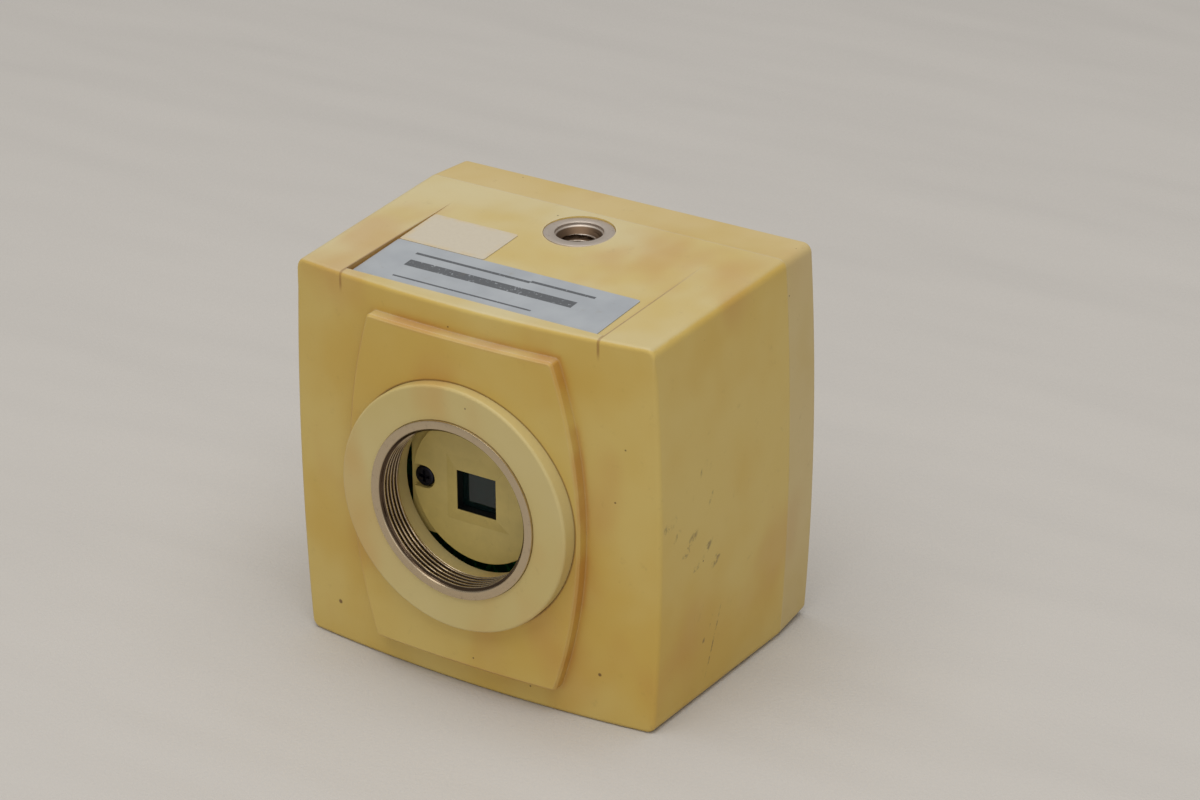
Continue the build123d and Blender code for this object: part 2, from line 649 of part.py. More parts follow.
def capacitors():
    """Five round capacitors standing on the middle board."""
    y = VIDEO_BOARD_Y + BOARD_THICKNESS
    cans = []
    for x, z, radius, tall in ((10.0, 40.0, 3.1, 7.5), (10.0, 31.5, 3.1, 7.5), (-13.0, 18.5, 2.5, 7.0),
                               (-6.5, 18.5, 2.5, 7.0), (0.0, 18.5, 2.5, 7.0)):
        can = rod(radius, y, y + tall, x, z)
        ends = can.edges().filter_by(GeomType.CIRCLE)
        can = fillet(ends, 0.3)
        cans.append(can - tube(radius + 1, radius - 0.3, y + 0.9, y + 1.5, x, z))
    return pack_up(cans)


def coil_core():
    """Bobbin-shaped core of the power coil, on the front of the rear board."""
    y = CONTROL_BOARD_Y
    core = rod(5.0, y - 1.4, y, COIL_X, COIL_Z) + rod(2.2, y - 6.5, y, COIL_X, COIL_Z)
    return core + rod(5.0, y - 7.6, y - 6.2, COIL_X, COIL_Z)


def coil_winding():
    """Copper winding between the core's flanges."""
    y = CONTROL_BOARD_Y
    return tube(4.2, 2.25, y - 6.15, y - 1.45, COIL_X, COIL_Z)


# ---------------------------------------------------------------- tripod bush, labels

def tripod_bush():
    """Flanged metal bush with a tapered mouth."""
    face = top_z(BUSH_Y) - 0.1
    flange = Cylinder(BUSH_FLANGE_R, BUSH_FLANGE_DEPTH)
    bush = Pos(0, 0, -BUSH_FLANGE_DEPTH / 2) * flange
    bush = bush + Pos(0, 0, -BUSH_LENGTH / 2) * Cylinder(BUSH_BODY_R, BUSH_LENGTH)
    bush = bush - Pos(0, 0, -BUSH_LENGTH / 2) * Cylinder(BUSH_MINOR_R, BUSH_LENGTH + 1)
    mouth_depth = BUSH_MOUTH_R - BUSH_MINOR_R
    bush = bush - Pos(0, 0, -mouth_depth / 2) * Cone(BUSH_MINOR_R, BUSH_MOUTH_R, mouth_depth)
    for i in range(2):
        groove = Cylinder(BUSH_BODY_R + 1, 0.6) - Cylinder(BUSH_BODY_R - 0.4, 0.6)
        bush = bush - Pos(0, 0, -3.2 - 2.2 * i) * groove
    return Pos(0, BUSH_Y, face) * bush


def rating_label():
    """Thin metallised label at the front of the recess."""
    return recess_sheet(-22.0, 20.2, 0.15, 12.8, LABEL_THICKNESS)


def small_sticker():
    """Paper sticker behind the label."""
    return recess_sheet(-22.0, -7.0, 13.1, 9.3, LABEL_THICKNESS)


# ---------------------------------------------------------------- rear panel

def bnc_opening():
    """Round hole with one flat, which keeps the socket from turning."""
    hole = rod(BNC_SHELL_R + 0.05, HOUSING_DEPTH, REAR_Y + 1, BNC_X, BNC_Z)
    flat = block(12, 2, HOUSING_DEPTH, REAR_Y + 2, BNC_X, BNC_Z - BNC_SHELL_R + 0.45 - 1)
    return hole - flat


def bnc_shell():
    """Outer shell of the video socket, with its flange, flat and two bayonet studs."""
    shell = rod(BNC_SHELL_R, PANEL_INNER_Y - 1.8, BNC_END_Y, BNC_X, BNC_Z)
    rim = shell.edges().filter_by(GeomType.CIRCLE).sort_by(Axis.Y)[-1]
    shell = chamfer(rim, 0.4)
    shell = shell - block(12, 2, PANEL_INNER_Y, REAR_Y, BNC_X, BNC_Z - BNC_SHELL_R + 0.5 - 1)
    shell = shell + rod(6.4, PANEL_INNER_Y - 1.8, PANEL_INNER_Y, BNC_X, BNC_Z)
    stud = Pos(BNC_X, BNC_END_Y - 3.2, BNC_Z) * Cylinder(0.95, (BNC_SHELL_R + 0.8) * 2)
    shell = shell + stud
    return shell - rod(4.1, PANEL_INNER_Y - 3, BNC_END_Y + 1, BNC_X, BNC_Z)


def bnc_insulator():
    """White insulator inside the socket, with a sleeve round the centre contact."""
    body = rod(4.08, PANEL_INNER_Y - 1.8, REAR_Y + 2.0, BNC_X, BNC_Z)
    body = body + rod(2.4, REAR_Y + 1.0, BNC_END_Y - 2.5, BNC_X, BNC_Z)
    return body - rod(0.95, PANEL_INNER_Y - 3, BNC_END_Y + 1, BNC_X, BNC_Z)


def bnc_contact():
    """Centre contact: a split tube in front, and a tail soldered to the rear board."""
    contact = rod(0.93, PANEL_INNER_Y - 1.8, BNC_END_Y - 2.8, BNC_X, BNC_Z)
    contact = contact + rod(0.6, CONTROL_BOARD_Y + 0.4, PANEL_INNER_Y - 1.0, BNC_X, BNC_Z)
    return contact - rod(0.5, BNC_END_Y - 7, BNC_END_Y, BNC_X, BNC_Z)


def bnc_washer():
    """Toothed washer under the socket's nut."""
    washer = rod(7.2, REAR_Y, REAR_Y + 0.5, BNC_X, BNC_Z)
    for i in range(16):
        angle = math.radians(22.5 * i)
        x = BNC_X + 7.2 * math.cos(angle)
        z = BNC_Z + 7.2 * math.sin(angle)
        washer = washer - rod(0.55, REAR_Y - 1, REAR_Y + 1, x, z)
    return washer - rod(BNC_SHELL_R + 0.03, REAR_Y - 1, REAR_Y + 2, BNC_X, BNC_Z)


def panel_nut(across_flats, bore, y0, y1, x, z):
    """Hexagonal nut with its outer corners turned off."""
    nut = hexagon(across_flats, y0, y1, x, z)
    corner_r = across_flats / 2 / math.cos(math.radians(30))
    cone = Cone(corner_r + 0.6, corner_r - 0.7, y1 - y0)
    nut = nut & (Pos(x, (y0 + y1) / 2, z) * Rot(-90, 0, 0) * cone)
    return nut - rod(bore, y0 - 1, y1 + 1, x, z)


def bnc_nut():
    """Nut of the video socket."""
    return panel_nut(12.7, BNC_SHELL_R + 0.03, REAR_Y + 0.5, REAR_Y + 2.7, BNC_X, BNC_Z)


def power_jack():
    """Round power jack: body behind the panel and a threaded barrel through it."""
    body = rod(5.2, CONTROL_BOARD_Y + 4.0, PANEL_INNER_Y, JACK_X, JACK_Z)
    body = body + rod(3.9, PANEL_INNER_Y - 1, REAR_Y + 2.4, JACK_X, JACK_Z)
    rim = body.edges().filter_by(GeomType.CIRCLE).sort_by(Axis.Y)[-1]
    body = chamfer(rim, 0.3)
    body = body - rod(JACK_BORE_R, PANEL_INNER_Y - 5, REAR_Y + 4, JACK_X, JACK_Z)
    return body - rod(1.05, CONTROL_BOARD_Y, REAR_Y, JACK_X, JACK_Z)


def power_jack_pin():
    """Centre pin of the power jack, with its tail on the rear board."""
    start = CONTROL_BOARD_Y + BOARD_THICKNESS
    pin = rod(1.0, start, REAR_Y + 1.8, JACK_X, JACK_Z)
    tip = pin.edges().filter_by(GeomType.CIRCLE).sort_by(Axis.Y)[-1]
    return fillet(tip, 0.6)


def power_jack_nut():
    """Nut of the power jack."""
    return panel_nut(10.0, 3.93, REAR_Y, REAR_Y + 1.8, JACK_X, JACK_Z)


def switch_body(x):
    """Slide switch body with a slot for its lever."""
    y0 = CONTROL_BOARD_Y + BOARD_THICKNESS
    body = block(9.0, 4.6, y0, SWITCH_TOP_Y, x, SWITCH_Z)
    body = fillet(body.edges().filter_by(Axis.Y), 0.3)
    width = 3.0 + SWITCH_TRAVEL + 0.1
    return body - block(width, 2.2, SWITCH_TOP_Y - 2.4, SWITCH_TOP_Y + 1, x, SWITCH_Z)


def switch_lever(x):
    """Switch lever at one end of its travel: a wide foot, and a ridged tip in the panel's slot."""
    rest = x - SWITCH_TRAVEL / 2
    lever = block(3.0, 2.1, SWITCH_TOP_Y - 2.35, SWITCH_TOP_Y, rest, SWITCH_Z)
    lever = lever + block(2.6, 2.1, SWITCH_TOP_Y - 1, REAR_Y - 0.1, rest, SWITCH_Z)
    for i in (-1, 0, 1):
        lever = lever - block(0.3, 3.0, REAR_Y - 0.4, REAR_Y + 1, rest + i * 0.8, SWITCH_Z)
    return lever


def trimmer_body():
    """Square body of the level trimmer."""
    y0 = CONTROL_BOARD_Y + BOARD_THICKNESS
    body = block(6.6, 6.6, y0, SWITCH_TOP_Y - 1.0, TRIMMER_X, SWITCH_Z)
    body = chamfer(body.edges().filter_by(Axis.Y), 0.4)
    return body - rod(2.45, SWITCH_TOP_Y - 2.6, SWITCH_TOP_Y, TRIMMER_X, SWITCH_Z)


def trimmer_rotor():
    """Slotted rotor, reached through a hole in the rear panel."""
    rotor = rod(2.4, SWITCH_TOP_Y - 2.55, SWITCH_TOP_Y - 0.6, TRIMMER_X, SWITCH_Z)
    rotor = rotor + rod(1.68, SWITCH_TOP_Y - 1, REAR_Y - 0.5, TRIMMER_X, SWITCH_Z)
    return rotor - block(4.0, 0.6, REAR_Y - 1.4, REAR_Y, TRIMMER_X, SWITCH_Z)


def power_lamp():
    """Round lamp with a domed end and two leads to the rear board."""
    lamp = rod(1.5, PANEL_INNER_Y - 1.2, REAR_Y + 0.4, LED_X, SWITCH_Z)
    lamp = lamp + (Pos(LED_X, REAR_Y + 0.4, SWITCH_Z) * Sphere(1.5))
    lamp = lamp + rod(1.9, PANEL_INNER_Y - 2.0, PANEL_INNER_Y - 1.0, LED_X, SWITCH_Z)
    for side in (-1, 1):
        lead = rod(0.25, CONTROL_BOARD_Y + BOARD_THICKNESS, PANEL_INNER_Y - 1.5, LED_X + side * 1.27, SWITCH_Z)
        lamp = lamp + lead
    return lamp


# ---------------------------------------------------------------- write the pieces

def pieces():
    """Every piece by name."""
    behind_sensor_board = SENSOR_BOARD_Y + BOARD_THICKNESS
    behind_video_board = VIDEO_BOARD_Y + BOARD_THICKNESS
    behind_control_board = CONTROL_BOARD_Y + BOARD_THICKNESS
    made = {
        "front_housing": front_housing(),
        "rear_cover": rear_cover(),
        "case_screws": case_screws(),
        "mount_ring": mount_ring(),
        "mount_ring_screws": mount_ring_screws(),
        "c_mount_ring": metal_ring(),
        "focus_o_ring": focus_o_ring(),
        "sensor_mask": sensor_mask(),
        "sensor_holder": sensor_holder(),
        "mask_screws": mask_screws(),
        "holder_nuts": holder_nuts(),
        "infrared_filter": infrared_filter(),
        "filter_gasket": filter_gasket(),
        "sensor_package": sensor_package(),
        "sensor_glass": sensor_glass(),
        "sensor_chip": sensor_chip(),
        "sensor_pins": sensor_pins(),
        "sensor_board": sensor_board(),
        "video_board": video_board(),
        "control_board": control_board(),
        "front_standoffs": standoffs(behind_sensor_board, VIDEO_BOARD_Y, SENSOR_BOARD_Y - STUD_LENGTH),
        "rear_standoffs": standoffs(behind_video_board, CONTROL_BOARD_Y, VIDEO_BOARD_Y - REAR_STUD_LENGTH),
        "board_screws": board_screws(),
        "front_header": header_block(FRONT_HEADER_X, behind_sensor_board, VIDEO_BOARD_Y),
        "front_header_pins": header_pins(FRONT_HEADER_X, SENSOR_BOARD_Y, behind_video_board),
        "rear_header": header_block(REAR_HEADER_X, behind_video_board, CONTROL_BOARD_Y),
        "rear_header_pins": header_pins(REAR_HEADER_X, VIDEO_BOARD_Y, behind_control_board),
        "driver_chips": driver_chips(),
        "processor_chip": processor_chip(),
        "processor_leads": processor_leads(),
        "crystal_can": crystal_can(),
        "capacitors": capacitors(),
        "coil_core": coil_core(),
        "coil_winding": coil_winding(),
        "tripod_bush": tripod_bush(),
        "rating_label": rating_label(),
        "small_sticker": small_sticker(),
        "video_socket_shell": bnc_shell(),
        "video_socket_insulator": bnc_insulator(),
        "video_socket_contact": bnc_contact(),
        "video_socket_washer": bnc_washer(),
        "video_socket_nut": bnc_nut(),
        "power_jack": power_jack(),
        "power_jack_pin": power_jack_pin(),
        "power_jack_nut": power_jack_nut(),
        "trimmer_body": trimmer_body(),
        "trimmer_rotor": trimmer_rotor(),
        "power_lamp": power_lamp(),
    }
    for name, x in SWITCH_XS.items():
        made[f"{name}_switch_body"] = switch_body(x)
        made[f"{name}_switch_lever"] = switch_lever(x)
    return made


os.makedirs("parts", exist_ok=True)
for piece_name, piece in pieces().items():
    save(piece_name, piece)
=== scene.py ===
# The looks of a compact box video camera: an aged cream case, a screw-in metal lens ring
# and a connector panel behind. Lengths are in metres, or in millimetres times MM.

import json
import math

import bmesh
import bpy
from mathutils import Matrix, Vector


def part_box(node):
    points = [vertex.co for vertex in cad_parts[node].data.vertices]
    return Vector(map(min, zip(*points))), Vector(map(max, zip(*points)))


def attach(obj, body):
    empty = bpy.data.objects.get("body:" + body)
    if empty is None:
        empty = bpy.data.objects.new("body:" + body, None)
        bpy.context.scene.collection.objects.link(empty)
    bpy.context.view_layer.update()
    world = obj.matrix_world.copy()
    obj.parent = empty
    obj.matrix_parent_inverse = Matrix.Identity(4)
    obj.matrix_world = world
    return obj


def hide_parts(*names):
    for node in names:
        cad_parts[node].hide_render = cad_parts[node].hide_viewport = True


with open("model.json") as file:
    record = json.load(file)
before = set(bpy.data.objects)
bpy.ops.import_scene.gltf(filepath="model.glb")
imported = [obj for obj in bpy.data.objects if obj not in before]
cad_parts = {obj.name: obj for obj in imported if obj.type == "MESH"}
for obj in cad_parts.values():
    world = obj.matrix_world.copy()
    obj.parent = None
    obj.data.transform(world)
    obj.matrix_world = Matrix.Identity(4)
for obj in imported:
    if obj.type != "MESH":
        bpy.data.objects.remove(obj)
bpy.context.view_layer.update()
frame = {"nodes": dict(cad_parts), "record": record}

MM = 0.001

# Camera
VIEW_AZIMUTH = 33.16            # degrees round from straight ahead, towards +X
VIEW_ELEVATION = 25.86
VIEW_ROLL = -0.487
VIEW_DISTANCE = 0.5674
VIEW_TARGET = Vector((1.78, -0.34, 34.78)) * MM
LENS_MM = 113.54
SENSOR_WIDTH_MM = 36.0
SHIFT_X = 0.01987
SHIFT_Y = 0.00944

# Lens mount
AXIS_Z = 30.9 * MM
LENS_THREAD_PITCH = 25.4 * MM / 32
LENS_THREAD_MINOR_R = 12.27 * MM
LENS_THREAD_MAJOR_R = 12.72 * MM
LENS_MOUTH_R = 12.8 * MM
O_RING_GROOVE_R = 13.4 * MM

# Raised plate behind the lens mount
PLATE_HALF_WIDTH = 16.0 * MM    # at the top and bottom
PLATE_SIDE_BOW = 4.3 * MM
PLATE_HALF_HEIGHT = 26.5 * MM
CREASE_WIDTH = 0.8 * MM         # how far the darker crease colour, part deeper yellowing and part painted shade, reaches from an inner corner

# Label recess in the top
RECESS_HALF_WIDTH = 22.2 * MM
RECESS_REAR_Y = 2.0 * MM

# Tripod bush
BUSH_THREAD_PITCH = 25.4 * MM / 20
BUSH_THREAD_MINOR_R = 2.62 * MM
BUSH_THREAD_MAJOR_R = 3.17 * MM
BUSH_MOUTH_R = 3.675 * MM

# Sensor mask
WINDOW_WIDTH = 6.8 * MM
WINDOW_HEIGHT = 6.4 * MM
WINDOW_DROP = 0.25 * MM         # the window sits a little low on the disc
HUMP_WIDTH = 2.0 * MM           # sloping surround of the window
HUMP_RISE = 0.45 * MM
HUMP_SHARP_ANGLE = 8            # degrees; creases steeper than this stay sharp
NOTCH_R = 1.8 * MM
NOTCH_END_X = 7.7 * MM
MASK_BEVEL = 0.12 * MM

# Smoothness of round shapes, in steps a turn or a curve
LENS_RING_STEPS = 288
BUSH_STEPS = 160
DISC_SIDE_STEPS = 96
NOTCH_STEPS = 24

# Finishes and stage
TOP_LIGHT_AND_PALENESS = (0.97, 1.11, 2.1)    # red, green and blue factors for upward faces: painted light from above, partly less yellowing on the top
INK_BLUR = 0.03                 # soft edge of the label's printed rules, in millimetres
FLOOR_HALF = 3.0


# ---------------------------------------------------------------- node materials

def linear(red, green, blue):
    """Display colour from 0 to 255 as linear light."""
    def one(value):
        value = value / 255
        return value / 12.92 if value <= 0.04045 else ((value + 0.055) / 1.055) ** 2.4
    return (one(red), one(green), one(blue), 1.0)


class Paint:
    """A node material being built; its methods return sockets to feed on."""

    def __init__(self, name, roughness=0.5, metallic=0.0):
        self.material = bpy.data.materials.new(name)
        self.material.use_nodes = True
        self.nodes = self.material.node_tree.nodes
        self.links = self.material.node_tree.links
        self.surface = self.nodes["Principled BSDF"]
        self.surface.inputs["Roughness"].default_value = roughness
        self.surface.inputs["Metallic"].default_value = metallic
        self.place = self.nodes.new("ShaderNodeTexCoord").outputs["Object"]
        self.normal = self.nodes.new("ShaderNodeNewGeometry").outputs["Normal"]
        split = self.nodes.new("ShaderNodeSeparateXYZ")
        self.links.new(self.place, split.inputs[0])
        self.x, self.y, self.z = split.outputs
        facing = self.nodes.new("ShaderNodeSeparateXYZ")
        self.links.new(self.normal, facing.inputs[0])
        self.upward = facing.outputs[2]

    def feed(self, socket, value):
        if isinstance(value, bpy.types.NodeSocket):
            self.links.new(value, socket)
        else:
            socket.default_value = value

    def set(self, **inputs):
        for name, value in inputs.items():
            self.feed(self.surface.inputs[name.replace("_", " ").title().replace("Ior", "IOR")], value)

    def math(self, operation, a, b=0.0, clamp=False):
        node = self.nodes.new("ShaderNodeMath")
        node.operation = operation
        node.use_clamp = clamp
        self.feed(node.inputs[0], a)
        self.feed(node.inputs[1], b)
        return node.outputs[0]

    def product(self, *factors):
        total = factors[0]
        for factor in factors[1:]:
            total = self.math("MULTIPLY", total, factor)
        return total

    def apart(self, a, b):
        """How far two values are apart, whichever is larger."""
        return self.math("ABSOLUTE", self.math("SUBTRACT", a, b))

    def squares(self, a, b):
        """The sum of two squares."""
        return self.math("ADD", self.math("POWER", a, 2.0), self.math("POWER", b, 2.0))

    def band(self, value, low, high):
        """0 below low, 1 above high, smooth between; low may be the larger one."""
        node = self.nodes.new("ShaderNodeMapRange")
        node.interpolation_type = "SMOOTHSTEP"
        self.feed(node.inputs["Value"], value)
        self.feed(node.inputs["From Min"], low)
        self.feed(node.inputs["From Max"], high)
        return node.outputs["Result"]

    def mix(self, share, a, b):
        node = self.nodes.new("ShaderNodeMix")
        node.data_type = "RGBA"
        self.feed(node.inputs[0], share)
        self.feed(node.inputs[6], a)
        self.feed(node.inputs[7], b)
        return node.outputs[2]

    def tint(self, share, colour, factor):
        """The colour, multiplied towards a red, green and blue factor by a share."""
        node = self.nodes.new("ShaderNodeMix")
        node.data_type = "RGBA"
        node.blend_type = "MULTIPLY"
        self.feed(node.inputs[0], share)
        self.feed(node.inputs[6], colour)
        self.feed(node.inputs[7], (*factor, 1.0))
        return node.outputs[2]

    def noise(self, size, detail=2.0, roughness=0.5, stretch=(1, 1, 1)):
        """Soft noise with features of a size in metres, around 0.5."""
        node = self.nodes.new("ShaderNodeTexNoise")
        node.inputs["Scale"].default_value = 1 / size
        node.inputs["Detail"].default_value = detail
        node.inputs["Roughness"].default_value = roughness
        self.links.new(self.stretched(stretch), node.inputs["Vector"])
        return node.outputs[0]

    def stretched(self, stretch):
        if tuple(stretch) == (1, 1, 1):
            return self.place
        node = self.nodes.new("ShaderNodeMapping")
        node.inputs["Scale"].default_value = stretch
        self.links.new(self.place, node.inputs["Vector"])
        return node.outputs[0]

    def spots(self, spacing, radius):
        """Sparse round specks, 1 inside and 0 outside."""
        node = self.nodes.new("ShaderNodeTexVoronoi")
        node.inputs["Scale"].default_value = 1 / spacing
        self.links.new(self.place, node.inputs["Vector"])
        share = radius / spacing
        return self.band(node.outputs["Distance"], share, share * 0.5)

    def crevice(self, reach):
        """1 deep in an inner corner, 0 on an open face."""
        node = self.nodes.new("ShaderNodeAmbientOcclusion")
        node.samples = 6
        node.only_local = True
        node.inputs["Distance"].default_value = reach
        return self.math("SUBTRACT", 1.0, node.outputs["AO"], clamp=True)

    def edge(self, radius):
        """1 on an outer or inner edge, 0 on an open face."""
        node = self.nodes.new("ShaderNodeBevel")
        node.samples = 4
        node.inputs["Radius"].default_value = radius
        dot = self.nodes.new("ShaderNodeVectorMath")
        dot.operation = "DOT_PRODUCT"
        self.links.new(node.outputs[0], dot.inputs[0])
        self.links.new(self.normal, dot.inputs[1])
        return self.band(dot.outputs["Value"], 0.995, 0.9)

    def bump(self, height, depth, round_edges=0.0):
        """Relief of a depth in metres; edges are rounded by round_edges metres."""
        node = self.nodes.new("ShaderNodeBump")
        node.inputs["Distance"].default_value = depth
        self.feed(node.inputs["Height"], height)
        if round_edges:
            bevel = self.nodes.new("ShaderNodeBevel")
            bevel.samples = 4
            bevel.inputs["Radius"].default_value = round_edges
            self.links.new(bevel.outputs[0], node.inputs["Normal"])
        self.links.new(node.outputs[0], self.surface.inputs["Normal"])


def scuffs(paint):
    """Dark rubbed marks and scratches on the case's right side, as a share from 0 to 1."""
    marks = (
        # y, z, half length, half width, lean in degrees
        (-22.2, 33.4, 2.2, 1.1, 20), (-20.4, 30.6, 1.6, 0.8, 50), (-17.0, 28.0, 3.2, 1.0, 42),
        (-12.8, 25.2, 3.0, 0.8, 40), (-9.9, 22.6, 1.8, 0.9, 35), (-15.0, 23.6, 1.4, 0.6, 20),
        (-14.0, 38.2, 1.0, 0.35, 75), (-11.4, 33.4, 1.3, 0.35, 60), (-13.0, 16.4, 0.9, 0.4, 60),
        (-10.6, 12.8, 1.5, 0.3, 75), (-12.4, 10.0, 0.7, 0.4, 70), (-9.6, 9.0, 8.0, 0.22, 73),
    )
    total = 0.0
    for y, z, half_length, half_width, lean in marks:
        turn = math.radians(lean)
        dy = paint.math("SUBTRACT", paint.y, y * MM)
        dz = paint.math("SUBTRACT", paint.z, z * MM)
        along = paint.math("ADD", paint.math("MULTIPLY", dy, math.cos(turn) / (half_length * MM)),
                           paint.math("MULTIPLY", dz, math.sin(turn) / (half_length * MM)))
        across = paint.math("SUBTRACT", paint.math("MULTIPLY", dz, math.cos(turn) / (half_width * MM)),
                            paint.math("MULTIPLY", dy, math.sin(turn) / (half_width * MM)))
        total = paint.math("MAXIMUM", total, paint.band(paint.squares(along, across), 1.0, 0.1))
    grain = paint.band(paint.noise(1.3 * MM, 4, 0.7), 0.44, 0.62)
    on_side = paint.band(paint.x, 29 * MM, 30 * MM)
    return paint.product(total, grain, on_side)


def on_top(paint):
    """1 on the case's top face, 0 below it."""
    return paint.band(paint.z, 58 * MM, 60 * MM)


def on_front(paint):
    """1 on the case's front face, 0 behind it."""
    return paint.band(paint.y, -20 * MM, -24 * MM)


def placed_specks(paint):
    """A few single dark specks on the front and the top, as a share from 0 to 1."""
    specks = (
        # direction the face looks, x, other place on the face, radius
        ("front", -24.6, 6.4, 0.45), ("front", 22.2, 8.0, 0.35), ("top", -0.6, 11.4, 0.5),
    )
    total = 0.0
    for face, across, along, radius in specks:
        if face == "front":
            level = paint.z
            on_face = paint.band(paint.y, -18 * MM, -20 * MM)
        else:
            level = paint.y
            on_face = on_top(paint)
        dx = paint.math("SUBTRACT", paint.x, across * MM)
        dz = paint.math("SUBTRACT", level, along * MM)
        inside = paint.band(paint.squares(dx, dz), (radius * MM) ** 2, (radius * MM * 0.4) ** 2)
        total = paint.math("MAXIMUM", total, paint.math("MULTIPLY", inside, on_face))
    return total


def plate_crease(paint):
    """Where the front face meets the raised plate's edge, as a share from 0 to 1."""
    height = paint.math("DIVIDE", paint.math("SUBTRACT", paint.z, AXIS_Z), PLATE_HALF_HEIGHT)
    bow = paint.product(paint.math("SUBTRACT", 1.0, paint.math("POWER", height, 2.0)), PLATE_SIDE_BOW)
    edge_x = paint.math("ADD", bow, PLATE_HALF_WIDTH)
    beyond_side = paint.math("SUBTRACT", paint.math("ABSOLUTE", paint.x), edge_x)
    beyond_end = paint.math("MULTIPLY", paint.math("SUBTRACT", paint.math("ABSOLUTE", height), 1.0),
                            PLATE_HALF_HEIGHT)
    beyond = paint.math("MAXIMUM", beyond_side, beyond_end)
    near = paint.band(paint.math("ABSOLUTE", beyond), CREASE_WIDTH, 0.0)
    return paint.product(near, on_front(paint))


def ring_gap_shade(paint):
    """Thin line of painted shade on the plate round the base of the plastic ring, as a share from 0 to 1.
    """
    low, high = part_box("mount_ring")
    ring_r = (high.x - low.x) / 2
    height = paint.math("SUBTRACT", paint.z, AXIS_Z)
    beyond = paint.apart(paint.math("SQRT", paint.squares(paint.x, height)), ring_r + 0.08 * MM)
    return paint.product(paint.band(beyond, 0.26 * MM, 0.1 * MM), on_front(paint))


def recess_crease_shade(paint):
    """Painted shade along the two side steps of the label recess, uneven and fading towards the back, from
    0 to 1.
    """
    beyond = paint.apart(paint.math("ABSOLUTE", paint.x), RECESS_HALF_WIDTH)
    near = paint.band(beyond, 0.32 * MM, 0.1 * MM)
    length = paint.band(paint.y, RECESS_REAR_Y, RECESS_REAR_Y - 14 * MM)
    uneven = paint.math("ADD", 0.5, paint.noise(1.5 * MM, 3), clamp=True)
    return paint.product(near, length, on_top(paint), uneven)


def case_plastic(name, young, aged, burnt_and_crease_shade, top_light_and_paleness, marked=False):
    """Aged moulded plastic: uneven yellowing, darker in creases (part yellowing, part painted shade),
    paler on upward faces (painted light from above, part less yellowing), with specks and a fine eroded
    grain.
    """
    paint = Paint(name)
    patches = paint.band(paint.noise(26 * MM, 3, 0.55), 0.35, 0.68)
    colour = paint.mix(patches, young, aged)
    warm = paint.band(paint.noise(17 * MM, 2, 0.5, (1.3, 0.8, 0.7)), 0.52, 0.74)
    colour = paint.mix(paint.math("MULTIPLY", warm, 0.35), colour, burnt_and_crease_shade)
    # Inner corners, and the front round the raised plate's edge, are painted darker and oranger: part
    # deeper yellowing, part painted shade.
    crease = paint.crevice(1.3 * MM)
    if marked:
        crease = paint.math("MAXIMUM", crease, paint.math("MULTIPLY", plate_crease(paint), 0.75))
    uneven = paint.band(paint.noise(9 * MM, 2), 0.30, 0.62)
    crease = paint.math("MULTIPLY", paint.math("MULTIPLY", crease, uneven), 0.8, clamp=True)
    colour = paint.mix(crease, colour, burnt_and_crease_shade)
    worn = paint.math("MULTIPLY", paint.edge(0.5 * MM), 0.28)
    colour = paint.mix(worn, colour, linear(226, 203, 146))
    specks = paint.math("MULTIPLY", paint.spots(6.5 * MM, 0.20 * MM), 0.75)
    colour = paint.mix(specks, colour, linear(74, 44, 18))
    grime = paint.math("MULTIPLY", paint.band(paint.noise(2.2 * MM, 4, 0.7), 0.60, 0.80), 0.16)
    colour = paint.mix(grime, colour, linear(120, 92, 48))
    if marked:
        colour = paint.mix(paint.product(scuffs(paint), 0.6), colour, linear(82, 64, 46))
        colour = paint.mix(paint.product(placed_specks(paint), 0.8), colour, linear(86, 50, 20))
        # Painted shade along the label recess's side steps.
        colour = paint.mix(paint.product(recess_crease_shade(paint), 0.6), colour, linear(140, 96, 44))
        # Painted shade round the base of the plastic ring.
        colour = paint.mix(paint.product(ring_gap_shade(paint), 0.6), colour, linear(128, 82, 32))
    # Upward faces are tinted paler: painted light from above, partly the top's lesser yellowing.
    colour = paint.tint(paint.band(paint.upward, 0.6, 0.9), colour, top_light_and_paleness)
    paint.set(base_color=colour)
    paint.set(roughness=paint.math("ADD", 0.40, paint.math("MULTIPLY", paint.noise(5 * MM, 3), 0.16)))
    grain = paint.math("ADD", paint.noise(0.28 * MM, 2, 0.6), paint.product(paint.noise(3 * MM, 2), 0.8))
    paint.bump(grain, 0.012 * MM, round_edges=0.18 * MM)
    return paint.material


def moulded_plastic(name, colour, roughness=0.45, spread=0.12, sheen=0.0):
    """Plain moulded plastic with faint flow marks and dust."""
    paint = Paint(name)
    dark = tuple(c * (1 - spread) for c in colour[:3]) + (1.0,)
    light = tuple(min(c * (1 + spread) + 0.004, 1) for c in colour[:3]) + (1.0,)
    tone = paint.mix(paint.band(paint.noise(4 * MM, 3, 0.6), 0.3, 0.7), dark, light)
    dust = paint.math("MULTIPLY", paint.band(paint.noise(0.5 * MM, 3, 0.7), 0.62, 0.8), 0.10)
    paint.set(base_color=paint.mix(dust, tone, linear(170, 160, 140)))
    paint.set(roughness=paint.math("ADD", roughness, paint.product(paint.noise(1.5 * MM, 2), 0.1)))
    paint.set(coat_weight=sheen)
    paint.bump(paint.noise(0.2 * MM, 2), 0.006 * MM, round_edges=0.1 * MM)
    return paint.material


